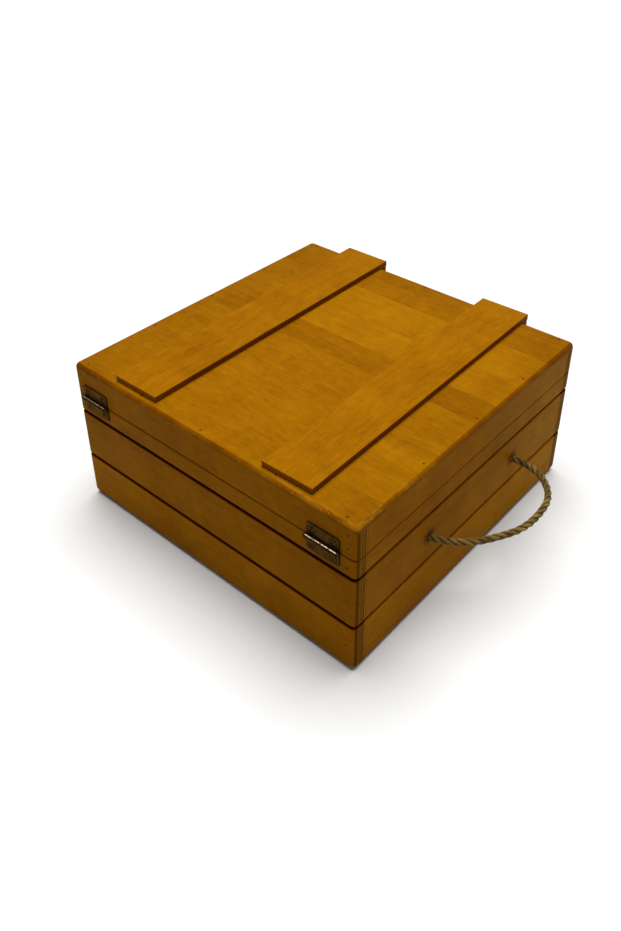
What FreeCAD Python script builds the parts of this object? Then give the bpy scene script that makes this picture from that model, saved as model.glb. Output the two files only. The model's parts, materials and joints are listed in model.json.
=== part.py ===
import FreeCAD, Part
import math
import os

V = FreeCAD.Vector

# Hinged wooden case for gaming chips, all lengths in mm.
# X runs along the hinge edge, +Y is the hinged rear, -Y the front, +Z up.
# The origin is the centre of the case's bottom face.

# ---------------------------------------------------------------- driving dimensions
W = 300.0            # case width, X
D = 298.5            # case depth, Y
H = 140.1            # height to the top face of the lid
T = 12.0             # thickness of the plywood wall panels
SPLIT = 110.75       # height of the joint line between case and lid
GAP = 0.5            # width of that joint line
GROOVE_Z = (92.7, 45.4)   # routed grooves round the case
GROOVE_W = 2.2
GROOVE_D = 2.2
CORNER_R = 4.2       # rounding of the upright corners
FOOT_R = 6.5         # rounding of the bottom edges
BOTTOM_T = 6.0
LID_T = 5.0          # lid top panel
LID_R = 4.8          # rounding of the lid's top edges

BATTEN_W = 46.5
BATTEN_T = 5.5
# each batten's centre line at the lid's middle, and its slight skew in degrees
BATTENS = {"left": (-79.6, 1.1), "right": (79.4, 0.6)}
FRONT_STRIP_X = {"left": -76.8, "right": 80.9}
FRONT_STRIP_Z0 = 111.4
BATTEN_Y0, BATTEN_Y1 = -155.0, 143.0

HINGE_X = {"left": -121.3, "right": 124.6}
LEAF_W = 29.5
LEAF_H = 12.25       # axis to the leaf's far edge
LEAF_T = 1.2
BARREL_R = 2.3
BARREL_L = 28.5
PIN_R = 1.1
PIN_CLEAR = 0.05
AXIS_Y = D / 2 + 2.5
AXIS_Z = SPLIT
SCREW_DX = 9.7
SCREW_DZ = 7.4

HASP_X = 0.0
HASP_W = 22.0
HASP_T = 1.2
HASP_AXIS_Y = -D / 2 - 2.6
HASP_AXIS_Z = 133.6
FLAP_Z0 = 94.5
STUD_Z = 102.5

ROPE_D = 6.0
ROPE_HOLE_R = 3.4
ROPE_Y = 60.0
ROPE_Z = 68.0
ROPE_PIVOT = W / 2 + 3.3
ROPE_RISE = 5.0      # degrees that the resting loop stands above level
KNOT_R = 7.5

CHIP_D = 40.0
CHANNELS = 5
CHANNEL_W = 42.0
DIV_T = 3.0
TRAY_WALL = 5.0
TRAY_FLOOR = 4.0
TRAY_H = 45.0
TRAY_L = 272.0
LINING_T = 1.0
RUNNER_H = 20.0

NAIL_R = 0.7
NAIL_HEAD_R = 1.0
NAIL_L = 20.0
NAIL_SUNK = 0.15
LID_NAILS_X = (-137.0, -73.0, 3.5, 70.5, 138.0)
LID_NAILS_Y = (-71.0, -2.0, 67.0)
CORNER_NAIL_LID_Z = (131.0, 119.0)
CORNER_NAIL_CASE_Z = (101.0, 70.0, 24.0)

x0, y0 = W / 2, D / 2
zr = SPLIT - GAP / 2          # rim of the case
zl = SPLIT + GAP / 2          # rim of the lid
zt = H - LID_T                # underside of the lid's top panel
os.makedirs("parts", exist_ok=True)
made = {}


def box(ax, ay, az, bx, by, bz):
    return Part.makeBox(bx - ax, by - ay, bz - az, V(ax, ay, az))


def cyl(r, h, p, d):
    return Part.makeCylinder(r, h, V(*p), V(*d))


def fuse(first, *rest):
    out = first
    for s in rest:
        out = out.fuse(s)
    out = out.removeSplitter()
    return out


def edges_where(shape, test):
    found = []
    for e in shape.Edges:
        a, b = e.Vertexes[0].Point, e.Vertexes[-1].Point
        if test(a, b):
            found.append(e)
    return found


def rounded(shape, r, test):
    es = edges_where(shape, test)
    return shape.makeFillet(r, es) if es else shape


def near(u, v):
    return abs(u - v) < 1e-4


def save(name, shape, solids=1):
    if isinstance(shape, (list, tuple)):
        shape = Part.makeCompound(list(shape))
    ok = shape.isValid() and len(shape.Solids) == solids
    if not ok:
        raise RuntimeError("%s: valid %s, %d solids" % (name, shape.isValid(), len(shape.Solids)))
    if solids == 1:
        shape = shape.Solids[0]
    shape.exportStep("parts/%s.step" % name)
    made[name] = shape


# ---------------------------------------------------------------- screws
# Cross-head wood screws. Each is given by the point where its head meets the
# face under it and the direction its head points to.
def screw(p, out, head_r=2.5, head_h=1.0, shank_r=1.15, length=8.5):
    p, out = V(*p), V(*out)
    # low domed head: a slice of a ball
    ball_r = (head_r ** 2 + head_h ** 2) / (2 * head_h)
    c = p - out * (ball_r - head_h)
    dome = Part.makeSphere(ball_r, V(c)).common(Part.makeCylinder(head_r + 1, head_h + 1, p, out))
    shank = Part.makeCylinder(shank_r, length - 2.0, p - out * (length - 2.0), out)
    tip = Part.makeCone(0.2, shank_r, 2.0, p - out * length, out)
    s = dome.fuse(shank).fuse(tip)
    side = V(1, 0, 0) if abs(out.x) < 0.5 else V(0, 1, 0)
    for k in (0, 90):
        arm = Part.makeBox(0.5, 2.6, 1.4, V(-0.25, -1.3, -0.55))
        arm.rotate(V(0, 0, 0), V(0, 0, 1), k + 17)
        m = FreeCAD.Placement(p + out * head_h, FreeCAD.Rotation(V(0, 0, 1), out))
        arm.Placement = m.multiply(arm.Placement)
        s = s.cut(arm)
    return s.removeSplitter()


def pilot(p, out, length=9.0, r=1.3):
    p, out = V(*p), V(*out)
    return Part.makeCylinder(r, length + 3.0, p - out * length, out)


hinge_low, hinge_high = [], []
for cx in HINGE_X.values():
    for k in (-1, 1):
        hinge_low.append((cx + k * SCREW_DX, y0, AXIS_Z - SCREW_DZ))
        hinge_high.append((cx + k * SCREW_DX, y0, AXIS_Z + SCREW_DZ))
hasp_low, hasp_high = [], []
for k in (-1, 1):
    hasp_low.append((HASP_X + k * 6.6, -y0, STUD_Z))
    hasp_high.append((HASP_X + k * 6.6, -y0, 119.0))


# ---------------------------------------------------------------- nails
# Fine brads with small flat heads, sunk just under the surface. Each is given by
# the point on the surface and the direction out of the wood.
def nail(p, out):
    p, out = V(*p), V(*out)
    head = Part.makeCylinder(NAIL_HEAD_R - 0.12, 0.7, p - out * (NAIL_SUNK + 0.7), out)
    shank = Part.makeCylinder(NAIL_R, NAIL_L - 1.0, p - out * (NAIL_L - 0.3), out)
    return head.fuse(shank).removeSplitter()


def nail_hole(p, out):
    p, out = V(*p), V(*out)
    return Part.makeCylinder(NAIL_HEAD_R, NAIL_L + 2.5, p - out * (NAIL_L + 0.5), out)


lid_nails = []
for x in LID_NAILS_X:
    for sy in (-1, 1):
        lid_nails.append(((x, sy * (y0 - T / 2), H), (0, 0, 1)))
for y in LID_NAILS_Y:
    for sx in (-1, 1):
        lid_nails.append(((sx * (x0 - T / 2), y, H), (0, 0, 1)))
corner_nails_lid, corner_nails_case = [], []
for sx in (-1, 1):
    for sy in (-1, 1):
        for z in CORNER_NAIL_LID_Z:
            corner_nails_lid.append(((sx * (x0 - 7.5), sy * y0, z), (0, sy, 0)))
        for z in CORNER_NAIL_CASE_Z:
            corner_nails_case.append(((sx * (x0 - 7.5), sy * y0, z), (0, sy, 0)))


def nailed(shape, nails):
    for p, out in nails:
        hole = nail_hole(p, out)
        if hole.BoundBox.intersect(shape.BoundBox):
            shape = shape.cut(hole)
    return shape


# ---------------------------------------------------------------- case walls
def grooves(shape, z0, z1):
    for z in GROOVE_Z:
        if z0 < z < z1:
            for sx in (-1, 1):
                xa = sx * x0
                shape = shape.cut(box(min(xa, xa - sx * GROOVE_D) - (1 if sx < 0 else 0), -y0 - 1, z - GROOVE_W / 2,
                                      max(xa, xa - sx * GROOVE_D) + (1 if sx > 0 else 0), y0 + 1, z + GROOVE_W / 2))
            for sy in (-1, 1):
                ya = sy * y0
                shape = shape.cut(box(-x0 - 1, min(ya, ya - sy * GROOVE_D) - (1 if sy < 0 else 0), z - GROOVE_W / 2,
                                      x0 + 1, max(ya, ya - sy * GROOVE_D) + (1 if sy > 0 else 0), z + GROOVE_W / 2))
    return shape


def cross_panel(sy, z0, z1, foot):
    """Front or rear panel: full width, it covers the ends of the side panels."""
    ya, yb = sorted((sy * y0, sy * (y0 - T)))
    p = box(-x0, ya, z0, x0, yb, z1)
    p = rounded(p, CORNER_R, lambda a, b: near(a.y, sy * y0) and near(b.y, sy * y0) and near(a.x, b.x) and abs(a.z - b.z) > 1)
    if foot:
        p = rounded(p, FOOT_R, lambda a, b: near(a.z, 0) and near(b.z, 0) and max(abs(a.y), abs(b.y)) > y0 - T + 0.01
                    and (near(a.y, sy * y0) or near(b.y, sy * y0) or near(abs(a.x), x0)))
    return grooves(p, z0, z1)


def side_panel(sx, z0, z1, foot):
    xa, xb = sorted((sx * x0, sx * (x0 - T)))
    p = box(xa, -y0 + T, z0, xb, y0 - T, z1)
    if foot:
        p = rounded(p, FOOT_R, lambda a, b: near(a.z, 0) and near(b.z, 0) and near(a.x, sx * x0) and near(b.x, sx * x0))
    return grooves(p, z0, z1)


rear = cross_panel(1, 0, zr, True)
front = cross_panel(-1, 0, zr, True)
left = side_panel(-1, 0, zr, True)
right = side_panel(1, 0, zr, True)
for q in hinge_low:
    rear = rear.cut(pilot(q, (0, 1, 0)))
for q in hasp_low:
    front = front.cut(pilot(q, (0, -1, 0)))
for y in (-ROPE_Y, ROPE_Y):
    left = left.cut(cyl(ROPE_HOLE_R, T + 2, (-x0 - 1, y, ROPE_Z), (1, 0, 0)))
    right = right.cut(cyl(ROPE_HOLE_R, T + 2, (x0 - T - 1, y, ROPE_Z), (1, 0, 0)))
save("rear_panel", nailed(rear, corner_nails_case))
save("front_panel", nailed(front, corner_nails_case))
save("left_side_panel", nailed(left, corner_nails_case))
save("right_side_panel", nailed(right, corner_nails_case))
save("corner_nails_case", [nail(*q) for q in corner_nails_case], len(corner_nails_case))
save("bottom_panel", box(-x0 + T, -y0 + T, 0, x0 - T, y0 - T, BOTTOM_T))
save("floor_lining", box(-x0 + T + 0.5, -y0 + T + 0.5, BOTTOM_T, x0 - T - 0.5, y0 - T - 0.5, BOTTOM_T + LINING_T))

# ---------------------------------------------------------------- lid
lid_rear = cross_panel(1, zl, zt, False)
lid_front = cross_panel(-1, zl, zt, False)
for q in hinge_high:
    lid_rear = lid_rear.cut(pilot(q, (0, 1, 0)))
for q in hasp_high:
    lid_front = lid_front.cut(pilot(q, (0, -1, 0)))
all_lid_nails = lid_nails + corner_nails_lid
save("lid_rear_rail", nailed(lid_rear, all_lid_nails))
save("lid_front_rail", nailed(lid_front, all_lid_nails))
save("lid_left_rail", nailed(side_panel(-1, zl, zt, False), all_lid_nails))
save("lid_right_rail", nailed(side_panel(1, zl, zt, False), all_lid_nails))
save("lid_nails", [nail(*q) for q in lid_nails], len(lid_nails))
save("corner_nails_lid", [nail(*q) for q in corner_nails_lid], len(corner_nails_lid))
top = box(-x0, -y0, zt, x0, y0, H)
top = rounded(top, CORNER_R, lambda a, b: near(a.x, b.x) and near(a.y, b.y))
top = rounded(top, LID_R - 0.3, lambda a, b: near(a.z, H) and near(b.z, H))
save("lid_top_panel", nailed(top, lid_nails))
save("lid_lining", box(-x0 + T + 0.5, -y0 + T + 0.5, zt - LINING_T, x0 - T - 0.5, y0 - T - 0.5, zt))
for name, (cx, skew) in BATTENS.items():
    b = box(cx - BATTEN_W / 2, BATTEN_Y0, H, cx + BATTEN_W / 2, BATTEN_Y1, H + BATTEN_T)
    b = b.makeChamfer(0.5, edges_where(b, lambda a, c: near(a.z, H + BATTEN_T) and near(c.z, H + BATTEN_T)))
    b.rotate(V(cx, (BATTEN_Y0 + BATTEN_Y1) / 2, 0), V(0, 0, 1), skew)
    save("batten_%s" % name, b)
# the short strips that carry the battens down over the lid's front rail
for name, cx in FRONT_STRIP_X.items():
    b = box(cx - BATTEN_W / 2, BATTEN_Y0, FRONT_STRIP_Z0, cx + BATTEN_W / 2, -y0, H)
    b = b.makeChamfer(0.5, edges_where(b, lambda a, c: near(a.y, BATTEN_Y0) and near(c.y, BATTEN_Y0) and not near(a.z + c.z, 2 * H)))
    save("front_strip_%s" % name, b)

# ---------------------------------------------------------------- butt hinges on the rear face
def leaf(cx, up, count, first):
    """One leaf: plate, and its share of the five knuckles round the pin."""
    step = BARREL_L / 5
    xa = cx - BARREL_L / 2
    sz = 1 if up else -1
    za, zb = sorted((AXIS_Z + sz * (BARREL_R + 0.35), AXIS_Z + sz * LEAF_H))
    plate = box(cx - LEAF_W / 2, y0, za, cx + LEAF_W / 2, y0 + LEAF_T, zb)
    far = AXIS_Z + sz * LEAF_H
    plate = rounded(plate, 2.2, lambda a, b: near(a.z, far) and near(b.z, far) and near(a.x, b.x))
    s = plate
    for i in range(first, 5, 2):
        ka, kb = xa + i * step + 0.12, xa + (i + 1) * step - 0.12
        zc, zd = sorted((AXIS_Z, AXIS_Z + sz * (BARREL_R + 0.5)))
        s = s.fuse(box(ka, y0, zc, kb, y0 + LEAF_T, zd))
        s = s.fuse(cyl(BARREL_R, kb - ka, (ka, AXIS_Y, AXIS_Z), (1, 0, 0)))
    s = s.cut(cyl(PIN_R + PIN_CLEAR, BARREL_L + 4, (xa - 2, AXIS_Y, AXIS_Z), (1, 0, 0)))
    for k in (-1, 1):
        q = (cx + k * SCREW_DX, y0, AXIS_Z + sz * SCREW_DZ)
        s = s.cut(cyl(1.35, 6, (q[0], y0 - 1, q[2]), (0, 1, 0)))
    return s.removeSplitter()


def domed_pin(xa, length, y, z, r, head_r):
    s = cyl(r, length + 0.4, (xa - 0.2, y, z), (1, 0, 0))
    for x, d in ((xa - 0.2, -1), (xa + length + 0.2, 1)):
        ball = Part.makeSphere(head_r, V(x, y, z))
        half = box(x if d > 0 else x - 5, y - 5, z - 5, x + 5 if d > 0 else x, y + 5, z + 5)
        s = s.fuse(ball.common(half))
    return s.removeSplitter()


for name, cx in HINGE_X.items():
    save("hinge_%s_case_leaf" % name, leaf(cx, False, 3, 0))
    save("hinge_%s_lid_leaf" % name, leaf(cx, True, 2, 1))
    save("hinge_%s_pin" % name, domed_pin(cx - BARREL_L / 2, BARREL_L, AXIS_Y, AXIS_Z, PIN_R, 1.9))
save("hinge_screws_case", [screw((q[0], y0 + LEAF_T, q[2]), (0, 1, 0)) for q in hinge_low], 4)
save("hinge_screws_lid", [screw((q[0], y0 + LEAF_T, q[2]), (0, 1, 0)) for q in hinge_high], 4)

# ---------------------------------------------------------------- hasp at the middle of the front
for cx in (HASP_X,):
    ay, az = HASP_AXIS_Y, HASP_AXIS_Z
    face = -y0
    step = HASP_W / 5
    xa = cx - HASP_W / 2
    bore = cyl(PIN_R + PIN_CLEAR, HASP_W + 4, (xa - 2, ay, az), (1, 0, 0))
    # leaf screwed to the lid, knuckles 2 and 4
    lf = box(xa, face - HASP_T, 112.6, xa + HASP_W, face, az - BARREL_R - 0.35)
    lf = rounded(lf, 2.0, lambda a, b: near(a.z, 112.6) and near(b.z, 112.6) and near(a.x, b.x))
    for i in (1, 3):
        ka, kb = xa + i * step + 0.12, xa + (i + 1) * step - 0.12
        lf = lf.fuse(box(ka, face - HASP_T, az - BARREL_R - 0.5, kb, face, az))
        lf = lf.fuse(cyl(BARREL_R, kb - ka, (ka, ay, az), (1, 0, 0)))
    lf = lf.cut(bore)
    for k in (-1, 1):
        lf = lf.cut(cyl(1.35, 6, (cx + k * 6.6, face - 3, 119.0), (0, 1, 0)))
    save("hasp_leaf", lf.removeSplitter())
    # flap, knuckles 1, 3 and 5, hanging outside the leaf and over the stud
    fa, fb = ay - BARREL_R, ay - BARREL_R + HASP_T
    fl = box(xa, fa, FLAP_Z0, xa + HASP_W, fb, az - BARREL_R - 0.35)
    fl = rounded(fl, 8.0, lambda a, b: near(a.z, FLAP_Z0) and near(b.z, FLAP_Z0) and near(a.x, b.x))
    for i in (0, 2, 4):
        ka, kb = xa + i * step + 0.12, xa + (i + 1) * step - 0.12
        fl = fl.fuse(box(ka, fa, az - BARREL_R - 0.5, kb, fb, az))
        fl = fl.fuse(cyl(BARREL_R, kb - ka, (ka, ay, az), (1, 0, 0)))
    fl = fl.cut(bore)
    # upright slot that the stud stands in
    slot = fuse(cyl(3.3, 6, (cx, fa - 2, STUD_Z - 1.2), (0, 1, 0)), cyl(3.3, 6, (cx, fa - 2, STUD_Z + 1.2), (0, 1, 0)),
                box(cx - 3.3, fa - 2, STUD_Z - 1.2, cx + 3.3, fa + 4, STUD_Z + 1.2))
    fl = fl.cut(slot)
    # turned-out finger lip along the bottom edge
    lip = box(cx - 5.0, fa - 2.2, FLAP_Z0, cx + 5.0, fa + 0.01, FLAP_Z0 + 1.2)
    fl = fl.fuse(lip)
    save("hasp_flap", fl.removeSplitter())
    save("hasp_pin", domed_pin(xa, HASP_W, ay, az, PIN_R, 1.9))
    # catch plate on the case with its rounded stud
    cp = box(cx - 10.0, face - 1.0, STUD_Z - 6.0, cx + 10.0, face, STUD_Z + 6.0)
    cp = cp.makeFillet(2.5, edges_where(cp, lambda a, b: near(a.x, b.x) and near(a.z, b.z)))
    cp = cp.fuse(cyl(2.2, 4.6, (cx, face - 4.6, STUD_Z), (0, 1, 0)))
    knob = Part.makeSphere(2.7, V(cx, face - 4.9, STUD_Z)).common(box(cx - 4, face - 9, STUD_Z - 4, cx + 4, face - 4.1, STUD_Z + 4))
    cp = cp.fuse(knob)
    for k in (-1, 1):
        cp = cp.cut(cyl(1.35, 4, (cx + k * 6.6, face - 2, STUD_Z), (0, 1, 0)))
    save("hasp_catch", cp.removeSplitter())
save("hasp_screws_lid", [screw((q[0], -y0 - HASP_T, q[2]), (0, -1, 0), head_r=2.2, head_h=0.8) for q in hasp_high], 2)
save("hasp_screws_case", [screw((q[0], -y0 - 1.0, q[2]), (0, -1, 0), head_r=2.2, head_h=0.8) for q in hasp_low], 2)

# ---------------------------------------------------------------- rope handles
# The loop's route as (y, distance out from the pivot line). The left loop is listed,
# and the right one is the same rope turned half a turn about Z.
ROUTE = [(60.0, 0.0), (56.3, 9.5), (48.0, 23.5), (31.5, 36.5), (12.0, 47.0), (-9.0, 49.2),
         (-31.0, 46.5), (-49.0, 33.0), (-59.0, 16.0), (-60.0, 0.0)]


def smooth_path(points, label):
    """Straight runs joined by tangent arcs, each as large as its two runs allow."""
    edges, radii = [], []
    start = points[0]
    for i in range(1, len(points) - 1):
        a, b, c = points[i - 1], points[i], points[i + 1]
        u, v = (b - a), (c - b)
        run = min(u.Length, v.Length)
        u.normalize()
        v.normalize()
        turn = math.acos(max(-1, min(1, u.dot(v))))
        cut = 0.45 * run
        r = cut / math.tan(turn / 2)
        radii.append(round(r, 1))
        p, q = b - u * cut, b + v * cut
        mid = (v - u)
        mid.normalize()
        m = b + mid * (r / math.cos(turn / 2) - r)
        edges.append(Part.LineSegment(start, p).toShape())
        edges.append(Part.Arc(p, m, q).toShape())
        start = q
    edges.append(Part.LineSegment(start, points[-1]).toShape())
    print(label, "bend radii", radii)
    return Part.Wire(edges)


def rope_loop(sx, label):
    c, s = math.cos(math.radians(ROPE_RISE)), math.sin(math.radians(ROPE_RISE))
    pts = [V(sx * (ROPE_PIVOT + r * c), -sx * y, ROPE_Z + r * s) for y, r in ROUTE]
    wire = smooth_path(pts, label)
    d = pts[1] - pts[0]
    ring = Part.Wire([Part.Circle(pts[0], d, ROPE_D / 2).toShape()])
    tube = wire.makePipeShell([ring], True, False)
    want = math.pi * (ROPE_D / 2) ** 2 * wire.Length
    print(label, "length", round(wire.Length, 2), "volume ratio", round(tube.Volume / want, 4))
    # ball ends, on which the loop turns at the face of the panel
    for q in (pts[0], pts[-1]):
        tube = tube.fuse(Part.makeSphere(ROPE_D / 2, q))
    return tube


def rope_ends(sx):
    """The rope inside the panel and its stopper knot, at both holes."""
    out = []
    for y in (ROUTE[0][0], ROUTE[-1][0]):
        y = -sx * y
        inner = x0 - T
        stub = cyl(ROPE_D / 2, T + 6.0, (sx * (inner - 6.0), y, ROPE_Z), (sx, 0, 0))
        knot = Part.makeSphere(KNOT_R, V(sx * (inner - 5.6), y, ROPE_Z))
        knot = knot.common(box(-1000, -1000, 0, inner - 0.1, 1000, 200) if sx > 0 else box(-inner + 0.1, -1000, 0, 1000, 1000, 200))
        tail = cyl(ROPE_D / 2, 9.0, (sx * (inner - 20.0), y, ROPE_Z), (sx, 0, 0))
        out.append(stub.fuse(knot).fuse(tail).removeSplitter())
    return out


for name, sx in (("left", -1), ("right", 1)):
    save("rope_loop_%s" % name, rope_loop(sx, name))
    save("rope_knots_%s" % name, rope_ends(sx), 2)

# ---------------------------------------------------------------- chip trays
tray_w = CHANNELS * CHANNEL_W + (CHANNELS - 1) * DIV_T + 2 * TRAY_WALL
runner_w = x0 - T - tray_w / 2 - 1.0
for name, sx in (("left", -1), ("right", 1)):
    xa, xb = sorted((sx * (x0 - T), sx * (x0 - T - runner_w)))
    r = box(xa, -120, BOTTOM_T + LINING_T, xb, 120, BOTTOM_T + LINING_T + RUNNER_H)
    r = r.makeChamfer(2.0, edges_where(r, lambda a, b: near(a.z, b.z) and near(a.z, BOTTOM_T + LINING_T + RUNNER_H) and near(a.x, b.x) and abs(a.x) < x0 - T - 1))
    save("%s_runner" % name, r)
for name, z in (("lower", BOTTOM_T + LINING_T), ("upper", BOTTOM_T + LINING_T + TRAY_H)):
    hx, hy = tray_w / 2, TRAY_L / 2
    save("%s_tray_bottom" % name, box(-hx, -hy, z, hx, hy, z + TRAY_FLOOR))
    za, zb = z + TRAY_FLOOR, z + TRAY_H - 0.3
    ends, sides, divs = [], [], []
    for sy in (-1, 1):
        ya, yb = sorted((sy * hy, sy * (hy - TRAY_WALL)))
        e = box(-hx, ya, za, hx, yb, zb)
        ends.append(e.makeFillet(1.2, edges_where(e, lambda a, b: near(a.z, zb) and near(b.z, zb) and near(a.y, b.y))))
    for sx in (-1, 1):
        xa, xb = sorted((sx * hx, sx * (hx - TRAY_WALL)))
        e = box(xa, -hy + TRAY_WALL, za, xb, hy - TRAY_WALL, zb)
        sides.append(e.makeFillet(1.2, edges_where(e, lambda a, b: near(a.z, zb) and near(b.z, zb) and near(a.x, b.x))))
    for i in range(1, CHANNELS):
        xa = -hx + TRAY_WALL + i * CHANNEL_W + (i - 1) * DIV_T
        e = box(xa, -hy + TRAY_WALL, za, xa + DIV_T, hy - TRAY_WALL, zb - 4.0)
        divs.append(e.makeFillet(1.0, edges_where(e, lambda a, b: near(a.z, zb - 4.0) and near(b.z, zb - 4.0) and near(a.x, b.x))))
    save("%s_tray_end_boards" % name, ends, 2)
    save("%s_tray_side_boards" % name, sides, 2)
    save("%s_tray_dividers" % name, divs, CHANNELS - 1)

print(len(made), "nodes")
bb = Part.makeCompound(list(made.values())).BoundBox
print("box", [round(v, 2) for v in (bb.XMin, bb.YMin, bb.ZMin, bb.XMax, bb.YMax, bb.ZMax)])
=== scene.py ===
import json
import math

import bmesh
import bpy
from mathutils import Matrix, Vector


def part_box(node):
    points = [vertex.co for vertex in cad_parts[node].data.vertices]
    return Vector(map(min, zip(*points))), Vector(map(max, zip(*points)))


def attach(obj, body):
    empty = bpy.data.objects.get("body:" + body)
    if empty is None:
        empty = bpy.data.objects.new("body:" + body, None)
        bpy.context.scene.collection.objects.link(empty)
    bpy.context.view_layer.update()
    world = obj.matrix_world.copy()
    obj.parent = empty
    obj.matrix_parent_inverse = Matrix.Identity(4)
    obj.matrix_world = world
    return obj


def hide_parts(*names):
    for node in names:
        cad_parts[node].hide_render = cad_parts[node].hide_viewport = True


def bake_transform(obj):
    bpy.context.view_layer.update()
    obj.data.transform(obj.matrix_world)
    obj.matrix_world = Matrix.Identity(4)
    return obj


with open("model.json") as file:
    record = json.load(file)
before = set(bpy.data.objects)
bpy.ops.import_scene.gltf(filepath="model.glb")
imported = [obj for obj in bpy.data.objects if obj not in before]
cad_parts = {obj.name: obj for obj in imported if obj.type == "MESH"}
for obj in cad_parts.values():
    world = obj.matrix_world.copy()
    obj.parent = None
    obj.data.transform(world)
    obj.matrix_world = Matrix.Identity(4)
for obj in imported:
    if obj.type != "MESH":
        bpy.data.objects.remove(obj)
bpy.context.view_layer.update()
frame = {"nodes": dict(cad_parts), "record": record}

scene = bpy.context.scene
nodes = frame["nodes"]


def middle(node):
    a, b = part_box(node)
    return (Vector(a) + Vector(b)) / 2


X0, Y0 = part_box("rear_panel")[1][0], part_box("rear_panel")[1][1]
HINGE_AXIS, HASP_AXIS = middle("hinge_left_pin"), middle("hasp_pin")
SPLIT = HINGE_AXIS.z
GROOVES = (0.0927, 0.0454)      # middles of the two saw grooves round the case


# ------------------------------------------------------------------ camera
def make_camera():
    data = bpy.data.cameras.new("camera")
    cam = bpy.data.objects.new("camera", data)
    scene.collection.objects.link(cam)
    az, el, roll = math.radians(220.06), math.radians(31.74), math.radians(0.323)
    back = Vector((math.sin(az) * math.cos(el), -math.cos(az) * math.cos(el), math.sin(el)))
    x = Vector((0, 0, 1)).cross(back).normalized()
    y = back.cross(x)
    c, s = math.cos(roll), math.sin(roll)
    x2, y2 = x * c + y * s, y * c - x * s
    m = Matrix((x2, y2, back)).transposed().to_4x4()
    m.translation = Vector((-0.4093, 0.4856, 0.5534))
    cam.matrix_world = m
    data.sensor_fit = "AUTO"
    data.sensor_width = 36.0
    data.lens = 901.4 * 36.0 / 931.0
    data.shift_x = (310.5 - 330.4) / 931.0
    data.shift_y = (331.0 - 465.5) / 931.0
    data.clip_start, data.clip_end = 0.02, 60.0
    scene.camera = cam


make_camera()


# ------------------------------------------------------------------ rope route
# The same points as the handle's solid: y, and how far the loop stands out from
# the line it swings on. The loop stands 5 degrees above level.
PIVOT_X, ROPE_Z, ROPE_D = 0.1533, 0.068, 0.006
ROUTE = [(0.0600, 0.0000), (0.0563, 0.0095), (0.0480, 0.0235), (0.0315, 0.0365), (0.0120, 0.0470),
         (-0.0090, 0.0492), (-0.0310, 0.0465), (-0.0490, 0.0330), (-0.0590, 0.0160), (-0.0600, 0.0000)]


def rope_points(sx):
    c, s = math.cos(math.radians(5)), math.sin(math.radians(5))
    pts = [Vector((sx * (PIVOT_X + r * c), -sx * y, ROPE_Z + r * s)) for y, r in ROUTE]
    first = Vector((sx * 0.1395, pts[0].y, ROPE_Z))
    last = Vector((sx * 0.1395, pts[-1].y, ROPE_Z))
    return [first] + pts + [last]


def spline_line(points, name):
    """Points along the smooth line through a route's control points."""
    cu = bpy.data.curves.new(name, "CURVE")
    cu.dimensions = "3D"
    cu.resolution_u = 40
    sp = cu.splines.new("NURBS")
    sp.points.add(len(points) - 1)
    for p, q in zip(sp.points, points):
        p.co = (q.x, q.y, q.z, 1.0)
    sp.order_u = 3
    sp.use_endpoint_u = True
    ob = bpy.data.objects.new(name, cu)
    scene.collection.objects.link(ob)
    bpy.context.view_layer.update()
    dg = bpy.context.evaluated_depsgraph_get()
    me = bpy.data.meshes.new_from_object(ob.evaluated_get(dg), depsgraph=dg)
    line = [v.co.copy() for v in me.vertices]
    bpy.data.meshes.remove(me)
    bpy.data.objects.remove(ob)
    bpy.data.curves.remove(cu)
    return line


def even(line, step):
    """The same line as points a fixed distance apart."""
    total = sum((b - a).length for a, b in zip(line, line[1:]))
    n = max(2, int(round(total / step)))
    want, out, run, i = total / n, [line[0].copy()], 0.0, 0
    target = want
    for a, b in zip(line, line[1:]):
        seg = (b - a).length
        while seg > 1e-12 and run + seg >= target - 1e-12 and len(out) < n:
            out.append(a.lerp(b, (target - run) / seg))
            target += want
        run += seg
    out.append(line[-1].copy())
    return out


def frames(line):
    """Tangent and a side direction that doesn't spin, at each point."""
    tang = []
    for i in range(len(line)):
        a, b = line[max(0, i - 1)], line[min(len(line) - 1, i + 1)]
        tang.append((b - a).normalized())
    side = tang[0].orthogonal().normalized()
    out = []
    for t in tang:
        side = (side - t * side.dot(t)).normalized()
        out.append((t, side, t.cross(side)))
    return out


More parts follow.
